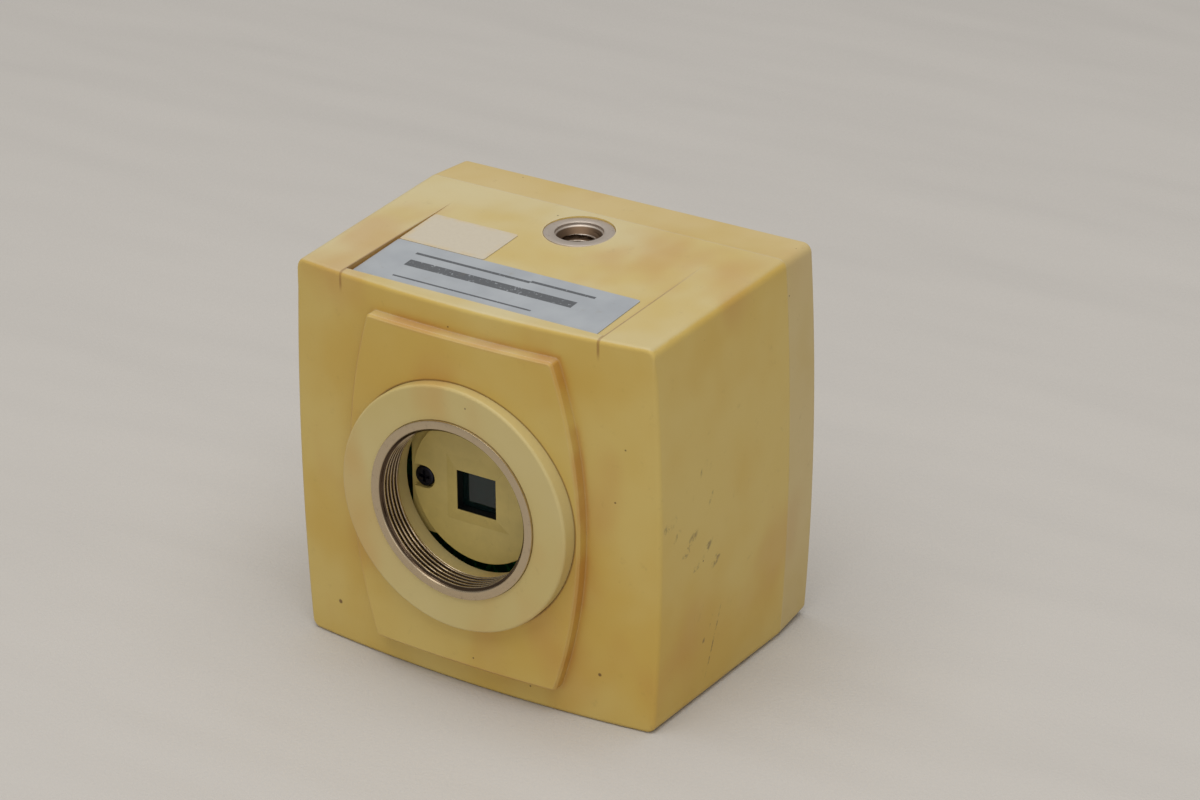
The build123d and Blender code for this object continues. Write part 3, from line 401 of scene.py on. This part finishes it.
def mask_paint(name, colour):
    """Cream plastic, with the window's walls painted near black as painted shade."""
    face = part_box("sensor_mask")[0].y
    paint = Paint(name, roughness=0.42)
    shade = tuple(c * 0.9 for c in colour[:3]) + (1,)
    tone = paint.mix(paint.band(paint.noise(4 * MM, 3, 0.6), 0.3, 0.7), colour, shade)
    grime = paint.product(paint.band(paint.noise(1.6 * MM, 4, 0.7), 0.58, 0.8), 0.2)
    tone = paint.mix(grime, tone, linear(120, 96, 52))
    # The window's walls are painted near black: painted shade.
    dx = paint.math("SUBTRACT", paint.math("ABSOLUTE", paint.x), WINDOW_WIDTH / 2 + 0.06 * MM)
    height = paint.math("SUBTRACT", paint.z, AXIS_Z - WINDOW_DROP)
    dz = paint.math("SUBTRACT", paint.math("ABSOLUTE", height), WINDOW_HEIGHT / 2 + 0.06 * MM)
    inside = paint.band(paint.math("MAXIMUM", dx, dz), 0.02 * MM, -0.01 * MM)
    behind = paint.band(paint.y, face - HUMP_RISE + 0.12 * MM, face - HUMP_RISE + 0.25 * MM)
    wall_shade = paint.math("MULTIPLY", inside, behind)
    paint.set(base_color=paint.mix(wall_shade, tone, linear(16, 18, 16)))
    paint.bump(paint.noise(0.2 * MM, 2), 0.006 * MM, round_edges=0.05 * MM)
    return paint.material


def plated_metal(name, colour, roughness=0.3, stretch=(1, 1, 1), tarnish=0.15):
    """Metal with a fine directional finish, uneven polish and a little tarnish."""
    paint = Paint(name, metallic=1.0)
    dull = tuple(c * 0.62 for c in colour[:3]) + (1.0,)
    patches = paint.math("MULTIPLY", paint.band(paint.noise(1.6 * MM, 4, 0.65), 0.45, 0.75), tarnish)
    paint.set(base_color=paint.mix(patches, colour, dull))
    lines = paint.noise(0.10 * MM, 2, 0.6, stretch)
    paint.set(roughness=paint.math("ADD", roughness, paint.math("MULTIPLY", lines, 0.14)))
    paint.bump(lines, 0.004 * MM, round_edges=0.08 * MM)
    return paint.material


def turned_metal(name, colour, centre, axis, bore, crest, bore_shade_colour, roughness=0.28):
    """Metal turned round an axis, "Y" or "Z": painted darker in its bore as shade and dark reflection, the
    thread's crests kept at the bright metal colour.
    """
    paint = Paint(name, metallic=1.0)
    dx = paint.math("SUBTRACT", paint.x, centre[0])
    other = paint.z if axis == "Y" else paint.y
    along = paint.y if axis == "Y" else paint.z
    dz = paint.math("SUBTRACT", other, centre[1])
    radius = paint.math("SQRT", paint.squares(dx, dz))
    lines = paint.nodes.new("ShaderNodeTexNoise")
    lines.noise_dimensions = "2D"
    lines.inputs["Scale"].default_value = 1 / (0.07 * MM)
    place = paint.nodes.new("ShaderNodeCombineXYZ")
    paint.links.new(radius, place.inputs[0])
    paint.links.new(along, place.inputs[1])
    paint.links.new(place.outputs[0], lines.inputs["Vector"])
    marks = lines.outputs[0]
    stain = paint.math("MULTIPLY", paint.band(paint.noise(1.1 * MM, 4, 0.7), 0.56, 0.74), 0.35)
    # Inside the bore the colour is painted darker, as painted shade and dark reflection; the thread's
    # crests keep the metal's own colour.
    tone = paint.mix(paint.band(radius, bore, bore - 0.15 * MM), colour, bore_shade_colour)
    tone = paint.mix(paint.band(radius, crest + 0.12 * MM, crest + 0.02 * MM), tone, colour)
    paint.set(base_color=paint.mix(stain, tone, linear(120, 104, 88)))
    paint.set(roughness=paint.math("ADD", roughness, paint.math("MULTIPLY", marks, 0.16)))
    paint.bump(marks, 0.006 * MM, round_edges=0.05 * MM)
    return paint.material


def label_foil(name):
    """Matt silver label with a few plain printed bars and rules, lightly scuffed."""
    low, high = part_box("rating_label")
    middle_x = (low.x + high.x) / 2
    middle_y = (low.y + high.y) / 2
    paint = Paint(name, roughness=0.5, metallic=0.25)
    cloud = paint.band(paint.noise(6 * MM, 3), 0.3, 0.7)
    tone = paint.mix(cloud, linear(170, 175, 181), linear(180, 185, 190))
    ink = 0.0
    rules = (
        # x and y from the label's middle, half length, half height
        (-1.0, 0.6, 14.5, 0.95), (-6.0, 3.6, 10.0, 0.3), (9.5, 3.9, 5.5, 0.3), (-3.0, -3.8, 12.0, 0.2),
    )
    for x, y, half_length, half_height in rules:
        dx = paint.apart(paint.x, middle_x + x * MM)
        dy = paint.apart(paint.y, middle_y + y * MM)
        inside_x = paint.band(dx, (half_length + INK_BLUR) * MM, (half_length - INK_BLUR) * MM)
        inside_y = paint.band(dy, (half_height + INK_BLUR) * MM, (half_height - INK_BLUR) * MM)
        ink = paint.math("MAXIMUM", ink, paint.product(inside_x, inside_y))
    wear = paint.band(paint.noise(0.5 * MM, 3, 0.7), 0.30, 0.42)
    colour = paint.mix(paint.product(ink, wear, 0.8), tone, linear(60, 62, 66))
    grime = paint.math("MULTIPLY", paint.band(paint.noise(2.5 * MM, 4, 0.7), 0.58, 0.8), 0.25)
    colour = paint.mix(grime, colour, linear(150, 138, 112))
    paint.set(base_color=colour)
    paint.bump(paint.noise(0.4 * MM, 3), 0.006 * MM)
    return paint.material


def aged_paper(name):
    """Off-white paper sticker, yellowed towards its edges."""
    low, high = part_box("small_sticker")
    paint = Paint(name, roughness=0.75)
    half_x = (high.x - low.x) / 2
    half_y = (high.y - low.y) / 2
    dx = paint.apart(paint.x, (low.x + high.x) / 2)
    dy = paint.apart(paint.y, (low.y + high.y) / 2)
    rim_x = paint.band(dx, half_x - 1.2 * MM, half_x)
    rim_y = paint.band(dy, half_y - 1.2 * MM, half_y)
    rim = paint.math("MAXIMUM", rim_x, rim_y)
    rim = paint.math("MULTIPLY", rim, paint.band(paint.noise(2 * MM, 3), 0.35, 0.65))
    tone = paint.mix(paint.noise(0.6 * MM, 4, 0.7), linear(192, 182, 163), linear(202, 193, 175))
    paint.set(base_color=paint.mix(paint.math("MULTIPLY", rim, 0.5), tone, linear(205, 180, 128)))
    paint.bump(paint.noise(0.12 * MM, 4, 0.7), 0.01 * MM)
    return paint.material


def circuit_laminate(name):
    """Green solder-masked laminate with copper tracks showing through."""
    paint = Paint(name, roughness=0.3)
    tracks = paint.nodes.new("ShaderNodeTexVoronoi")
    tracks.distance = "MANHATTAN"
    tracks.feature = "DISTANCE_TO_EDGE"
    tracks.inputs["Scale"].default_value = 1 / (2.6 * MM)
    paint.links.new(paint.place, tracks.inputs["Vector"])
    line = paint.band(tracks.outputs["Distance"], 0.10, 0.05)
    board = paint.mix(paint.noise(8 * MM, 2), linear(14, 74, 40), linear(20, 92, 52))
    paint.set(base_color=paint.mix(line, board, linear(44, 128, 74)), coat_weight=0.4)
    paint.bump(line, 0.03 * MM)
    return paint.material


def tinted_glass(name, tint, roughness=0.02):
    """Clear glass with a tint and faint dust."""
    paint = Paint(name)
    dust = paint.math("MULTIPLY", paint.band(paint.noise(0.35 * MM, 3, 0.7), 0.66, 0.8), 0.04)
    paint.set(base_color=paint.mix(dust, tint, linear(150, 165, 165)))
    paint.set(transmission_weight=0.92, ior=1.52, specular_ior_level=0.25)
    paint.set(roughness=paint.math("ADD", roughness, paint.math("MULTIPLY", dust, 0.5)))
    return paint.material


def image_chip(name):
    """Polished silicon with a blue-green image area in a dark border."""
    low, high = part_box("sensor_chip")
    paint = Paint(name, roughness=0.12, metallic=0.4)
    dx = paint.apart(paint.x, (low.x + high.x) / 2)
    dz = paint.apart(paint.z, (low.z + high.z) / 2)
    area = paint.product(paint.band(dx, 2.5 * MM, 2.4 * MM), paint.band(dz, 1.9 * MM, 1.8 * MM))
    glow = paint.mix(paint.noise(1.5 * MM, 2), linear(26, 92, 86), linear(36, 118, 106))
    paint.set(base_color=paint.mix(area, linear(30, 36, 40), glow), coat_weight=0.5)
    paint.bump(paint.noise(0.05 * MM, 1), 0.001 * MM)
    return paint.material


def copper_wire(name):
    """Enamelled wire wound round an axis along Y."""
    paint = Paint(name, roughness=0.3, metallic=0.9)
    turns = paint.math("SINE", paint.math("MULTIPLY", paint.y, 2 * math.pi / (0.3 * MM)))
    # Each turn is painted bright on its crown and dark between turns: painted highlight and shade.
    paint.set(base_color=paint.mix(paint.band(turns, -1, 1), linear(120, 52, 24), linear(196, 104, 58)))
    paint.bump(turns, 0.06 * MM)
    return paint.material


def cloth_floor(name):
    """Pale cloth lying flat, with faint wide creases."""
    paint = Paint(name, roughness=0.9)
    tone = paint.mix(paint.noise(0.12, 2), linear(197, 193, 188), linear(201, 197, 192))
    paint.set(base_color=tone)
    creases = paint.math("ADD", paint.math("MULTIPLY", paint.noise(0.06, 2, 0.5, (0.5, 1.6, 1)), 1.0),
                         paint.math("MULTIPLY", paint.noise(0.0006, 2), 0.02))
    paint.bump(creases, 0.004)
    return paint.material


# ---------------------------------------------------------------- meshes

def piece_from(name, verts, faces, material, body, replaced, sharp=35):
    """A closed mesh object that rides on a body and stands for CAD nodes."""
    mesh = bpy.data.meshes.new(name)
    mesh.from_pydata(verts, [], faces)
    work = bmesh.new()
    work.from_mesh(mesh)
    bmesh.ops.remove_doubles(work, verts=work.verts, dist=1e-7)
    bmesh.ops.recalc_face_normals(work, faces=work.faces)
    work.to_mesh(mesh)
    work.free()
    mesh.polygons.foreach_set("use_smooth", [True] * len(mesh.polygons))
    mesh.set_sharp_from_angle(angle=math.radians(sharp))
    mesh.materials.append(material)
    piece = bpy.data.objects.new(name, mesh)
    bpy.context.scene.collection.objects.link(piece)
    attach(piece, body)
    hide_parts(*replaced)
    return piece


def turned_mesh(rows, place, steps):
    """Vertices and faces of a closed ring: each row gives (radius, depth) for an angle."""
    verts = []
    for row in rows:
        for i in range(steps):
            angle = 2 * math.pi * i / steps
            radius, depth = row(angle) if callable(row) else row
            verts.append(place(radius, angle, depth))
    faces = []
    count = len(rows)
    for j in range(count):
        for i in range(steps):
            a = j * steps + i
            b = j * steps + (i + 1) % steps
            c = ((j + 1) % count) * steps
            faces.append((a, b, c + (i + 1) % steps, c + i))
    return verts, faces


def thread_rows(start, end, pitch, minor, major, turn_sign, mouth, rows_a_turn=14):
    """Rows down an internal thread; mouth(depth) is the least radius near the entry."""
    count = int(math.ceil((end - start) / pitch * rows_a_turn))

    def row_at(depth):
        fade_out = min(max((end - depth) / (0.4 * pitch), 0), 1)

        def row(angle):
            phase = (depth / pitch - turn_sign * angle / (2 * math.pi)) % 1.0
            slope = abs(2 * phase - 1)
            groove = min(max((slope - 0.25) / 0.625, 0), 1)
            radius = minor + (major - minor) * groove * fade_out
            return max(radius, mouth(depth)), depth
        return row
    return [row_at(start + (end - start) * k / count) for k in range(count + 1)]


def lens_ring(material):
    """Metal lens ring: a 32 turns-an-inch thread, a relieved mouth and the damping ring's groove."""
    low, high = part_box("c_mount_ring")
    groove_low, groove_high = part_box("focus_o_ring")
    length = high.y - low.y
    outer = (high.x - low.x) / 2
    groove_start = groove_low.y - low.y - 0.05 * MM
    groove_end = groove_high.y - low.y + 0.05 * MM

    def place(radius, angle, depth):
        return (radius * math.sin(angle), low.y + depth, AXIS_Z + radius * math.cos(angle))

    def mouth(depth):
        return LENS_MOUTH_R - max(depth - 0.05 * MM, 0) * 0.9

    rows = [(LENS_MOUTH_R + 0.06 * MM, 0.0)]
    rows += thread_rows(0.05 * MM, length - 0.12 * MM, LENS_THREAD_PITCH, LENS_THREAD_MINOR_R,
                        LENS_THREAD_MAJOR_R, 1, mouth)
    rows += [
        (LENS_THREAD_MINOR_R + 0.12 * MM, length),
        (outer - 0.12 * MM, length),
        (outer, length - 0.12 * MM),
        (outer, groove_end),
        (O_RING_GROOVE_R, groove_end),
        (O_RING_GROOVE_R, groove_start),
        (outer, groove_start),
        (outer, 0.14 * MM),
        (outer - 0.04 * MM, 0.04 * MM),
        (outer - 0.14 * MM, 0.0),
    ]
    verts, faces = turned_mesh(rows, place, LENS_RING_STEPS)
    return piece_from("lens_ring_threaded", verts, faces, material, "focus_ring",
                      ["c_mount_ring"])


def bush(material):
    """Flanged tripod bush with a coned mouth and its 20 turns-an-inch thread."""
    low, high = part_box("tripod_bush")
    centre_x = (low.x + high.x) / 2
    centre_y = (low.y + high.y) / 2
    flange_r = (high.x - low.x) / 2
    length = high.z - low.z
    body_r = flange_r - 1.0 * MM
    flange_depth = 1.0 * MM

    def place(radius, angle, depth):
        return (centre_x + radius * math.cos(angle), centre_y + radius * math.sin(angle), high.z - depth)

    def mouth(depth):
        return BUSH_MOUTH_R - max(depth - 0.45 * MM, 0) * 0.9

    rows = [(BUSH_MOUTH_R + 0.12 * MM, 0.0), (BUSH_MOUTH_R + 0.03 * MM, 0.05 * MM)]
    rows += thread_rows(0.2 * MM, length - 0.2 * MM, BUSH_THREAD_PITCH, BUSH_THREAD_MINOR_R,
                        BUSH_THREAD_MAJOR_R, -1, mouth)
    rows += [
        (BUSH_THREAD_MINOR_R + 0.2 * MM, length),
        (body_r - 0.1 * MM, length),
        (body_r, length - 0.1 * MM),
        (body_r, flange_depth),
        (flange_r, flange_depth),
        (flange_r, 0.12 * MM),
        (flange_r - 0.04 * MM, 0.03 * MM),
        (flange_r - 0.14 * MM, 0.0),
    ]
    verts, faces = turned_mesh(rows, place, BUSH_STEPS)
    return piece_from("tripod_bush_threaded", verts, faces, material, "camera_body",
                      ["tripod_bush"])


def plate_with_holes(name, outlines, thickness, bevel):
    """Mesh of a flat plate from closed outlines, with rounded rims; it lies in XY, its face up."""
    curve = bpy.data.curves.new(name, "CURVE")
    curve.dimensions = "2D"
    curve.fill_mode = "BOTH"
    curve.extrude = thickness / 2 - bevel
    curve.bevel_depth = bevel
    curve.bevel_resolution = 2
    curve.offset = -bevel
    for points in outlines:
        spline = curve.splines.new("POLY")
        spline.points.add(len(points) - 1)
        for point, (x, y) in zip(spline.points, points):
            point.co = (x, y, 0, 1)
        spline.use_cyclic_u = True
    holder = bpy.data.objects.new(name, curve)
    bpy.context.scene.collection.objects.link(holder)
    bpy.context.view_layer.update()
    mesh = bpy.data.meshes.new_from_object(holder)
    verts = [v.co.copy() for v in mesh.vertices]
    faces = [tuple(p.vertices) for p in mesh.polygons]
    bpy.data.objects.remove(holder)
    bpy.data.curves.remove(curve)
    bpy.data.meshes.remove(mesh)
    return verts, faces


def disc_outline(radius):
    """Disc with a round-ended notch at each side, as points in order."""
    notch_centre = NOTCH_END_X + NOTCH_R
    mouth = math.asin(NOTCH_R / radius)
    points = []
    for side in (1, -1):
        turn = 0 if side == 1 else math.pi
        for k in range(DISC_SIDE_STEPS + 1):
            angle = turn + mouth + (math.pi - 2 * mouth) * k / DISC_SIDE_STEPS
            points.append((radius * math.cos(angle), radius * math.sin(angle)))
        for k in range(NOTCH_STEPS + 1):
            angle = math.pi / 2 - math.pi * k / NOTCH_STEPS
            x = -side * (notch_centre - NOTCH_R * math.cos(angle))
            points.append((x, side * NOTCH_R * math.sin(angle)))
    return points


def mask_disc(material):
    """Disc in front of the sensor: a notch each side and a low sloping surround round the window."""
    low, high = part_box("sensor_mask")
    radius = (high.z - low.z) / 2
    thickness = high.y - low.y
    half_w = WINDOW_WIDTH / 2
    half_h = WINDOW_HEIGHT / 2
    window = [(-half_w, -half_h), (half_w, -half_h), (half_w, half_h), (-half_w, half_h)]
    window = [(x, z - WINDOW_DROP) for x, z in window]
    outlines = [disc_outline(radius), window]
    verts, faces = plate_with_holes("mask_outline", outlines, thickness, MASK_BEVEL)
    verts = [Vector((v.x, low.y + thickness / 2 - v.z, AXIS_Z + v.y)) for v in verts]
    face_y = low.y
    section = ((0.0, 0.2 * MM), (0.0, -HUMP_RISE + 0.08 * MM), (0.08 * MM, -HUMP_RISE),
               (HUMP_WIDTH * 0.5, -HUMP_RISE * 0.48), (HUMP_WIDTH, 0.0), (HUMP_WIDTH, 0.2 * MM))
    start = len(verts)
    for out, rise in section:
        for sx, sz in ((-1, -1), (1, -1), (1, 1), (-1, 1)):
            x = sx * (half_w + MASK_BEVEL * 0.2 + out)
            z = sz * (half_h + MASK_BEVEL * 0.2 + out) - WINDOW_DROP
            verts.append(Vector((x, face_y + rise, AXIS_Z + z)))
    count = len(section)
    for j in range(count):
        for i in range(4):
            a = start + j * 4 + i
            b = start + j * 4 + (i + 1) % 4
            c = start + ((j + 1) % count) * 4
            faces.append((a, b, c + (i + 1) % 4, c + i))
    return piece_from("sensor_mask_disc", verts, faces, material, "camera_body",
                      ["sensor_mask"], HUMP_SHARP_ANGLE)


# ---------------------------------------------------------------- finishes

def finish_slots():
    """Each material slot's finish, by the record's slot name."""
    bush_centre = [(a + b) / 2 for a, b in zip(*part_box("tripod_bush"))]
    return {
        "case_plastic": case_plastic("aged_case_plastic", linear(208, 182, 104), linear(202, 168, 78),
                                     linear(186, 124, 50), TOP_LIGHT_AND_PALENESS, True),
        "cover_plastic": case_plastic("aged_cover_plastic", linear(204, 182, 126), linear(198, 172, 104),
                                      linear(186, 140, 76), (1.0, 1.0, 1.05)),
        "ring_plastic": case_plastic("aged_ring_plastic", linear(206, 188, 130), linear(202, 182, 118),
                                     linear(196, 138, 56), (1.0, 1.0, 1.0)),
        "mask_plastic": mask_paint("cream_mask_plastic", linear(204, 182, 108)),
        "black_plastic": moulded_plastic("black_plastic", linear(34, 34, 36), 0.42),
        "white_plastic": moulded_plastic("white_plastic", linear(224, 222, 214), 0.4, 0.05),
        "blue_plastic": moulded_plastic("blue_plastic", linear(40, 88, 158), 0.4),
        "ring_metal": turned_metal("turned_ring_metal", linear(196, 178, 150), (0.0, AXIS_Z), "Y",
                                   LENS_MOUTH_R, LENS_THREAD_MINOR_R, linear(84, 68, 54), 0.16),
        "bush_metal": turned_metal("turned_bush_metal", linear(216, 204, 192), bush_centre[:2], "Z",
                                   BUSH_MOUTH_R - 0.1 * MM, BUSH_THREAD_MINOR_R, linear(110, 90, 72),
                                   0.42),
        "screw_steel": plated_metal("zinc_plated_steel", linear(150, 150, 152), 0.34),
        "dark_screw": plated_metal("black_oxide_steel", linear(46, 46, 54), 0.36),
        "nickel": plated_metal("nickel_plate", linear(206, 202, 194), 0.16, tarnish=0.25),
        "brass": plated_metal("bare_brass", linear(196, 164, 96), 0.26, tarnish=0.3),
        "copper": copper_wire("enamelled_copper"),
        "ferrite": moulded_plastic("ferrite", linear(58, 58, 60), 0.6),
        "rubber": moulded_plastic("black_rubber", linear(26, 26, 26), 0.7),
        "filter_glass": tinted_glass("blue_green_filter", linear(26, 84, 80)),
        "clear_glass": tinted_glass("cover_glass", linear(120, 150, 146)),
        "ceramic": moulded_plastic("grey_ceramic", linear(84, 80, 78), 0.5),
        "silicon": image_chip("image_chip"),
        "laminate": circuit_laminate("board_laminate"),
        "capacitor_sleeve": moulded_plastic("capacitor_sleeve", linear(34, 38, 66), 0.3, sheen=0.3),
        "red_lamp": tinted_glass("red_lamp_resin", linear(200, 30, 24), 0.1),
        "label_foil": label_foil("label_foil"),
        "sticker_paper": aged_paper("sticker_paper"),
    }


def dress_nodes(finishes):
    """Give every CAD node the finish of its slot."""
    slot_of = {row["node"]: row["material_slot"] for row in frame["record"]["subparts"]}
    for node, part in frame["nodes"].items():
        part.data.materials.clear()
        part.data.materials.append(finishes[slot_of[node]])


# ---------------------------------------------------------------- stage

def add_floor():
    """Large pale cloth under the camera."""
    half = FLOOR_HALF
    corners = [(-half, -half, 0), (half, -half, 0), (half, half, 0), (-half, half, 0)]
    mesh = bpy.data.meshes.new("floor")
    mesh.from_pydata(corners, [], [(0, 1, 2, 3)])
    mesh.materials.append(cloth_floor("pale_cloth"))
    floor = bpy.data.objects.new("floor", mesh)
    bpy.context.scene.collection.objects.link(floor)


def add_light(name, place, size, power, colour):
    """Soft square light that faces the object."""
    lamp = bpy.data.lights.new(name, "AREA")
    lamp.shape = "SQUARE"
    lamp.size = size
    lamp.energy = power
    lamp.color = colour
    holder = bpy.data.objects.new(name, lamp)
    holder.location = place
    aim = Vector((0, 0, 0.03)) - Vector(place)
    holder.rotation_euler = aim.to_track_quat("-Z", "Y").to_euler()
    bpy.context.scene.collection.objects.link(holder)


def add_lights():
    add_light("overhead", (0.05, -0.15, 0.9), 1.0, 6.4, (1.0, 0.985, 0.96))
    add_light("front_fill", (0.6, -1.1, 0.4), 0.8, 1.3, (1.0, 0.98, 0.95))
    add_light("glint", (0.16, -0.89, 0.24), 0.05, 0.22, (1.0, 0.99, 0.97))
    world = bpy.data.worlds.new("studio")
    world.use_nodes = True
    back = world.node_tree.nodes["Background"]
    back.inputs["Color"].default_value = (1.0, 0.985, 0.96, 1)
    back.inputs["Strength"].default_value = 0.36
    bpy.context.scene.world = world


def add_camera():
    """Camera at the chosen angle, with its small roll and shift."""
    azimuth = math.radians(VIEW_AZIMUTH)
    elevation = math.radians(VIEW_ELEVATION)
    flat = math.cos(elevation)
    back = Vector((math.sin(azimuth) * flat, -math.cos(azimuth) * flat, math.sin(elevation)))
    lens = bpy.data.cameras.new("camera")
    lens.sensor_width = SENSOR_WIDTH_MM
    lens.lens = LENS_MM
    lens.shift_x = SHIFT_X
    lens.shift_y = SHIFT_Y
    lens.clip_start = 0.01
    camera = bpy.data.objects.new("camera", lens)
    camera.location = VIEW_TARGET + back * VIEW_DISTANCE
    camera.rotation_euler = (-back).to_track_quat("-Z", "Y").to_euler()
    bpy.context.scene.collection.objects.link(camera)
    camera.rotation_euler.rotate_axis("Z", math.radians(VIEW_ROLL))
    bpy.context.scene.camera = camera


# ---------------------------------------------------------------- build

finishes = finish_slots()
dress_nodes(finishes)
lens_ring(finishes["ring_metal"])
bush(finishes["bush_metal"])
mask_disc(finishes["mask_plastic"])
add_floor()
add_lights()
add_camera()
bpy.context.scene.view_settings.view_transform = "Standard"

bpy.context.view_layer.update()
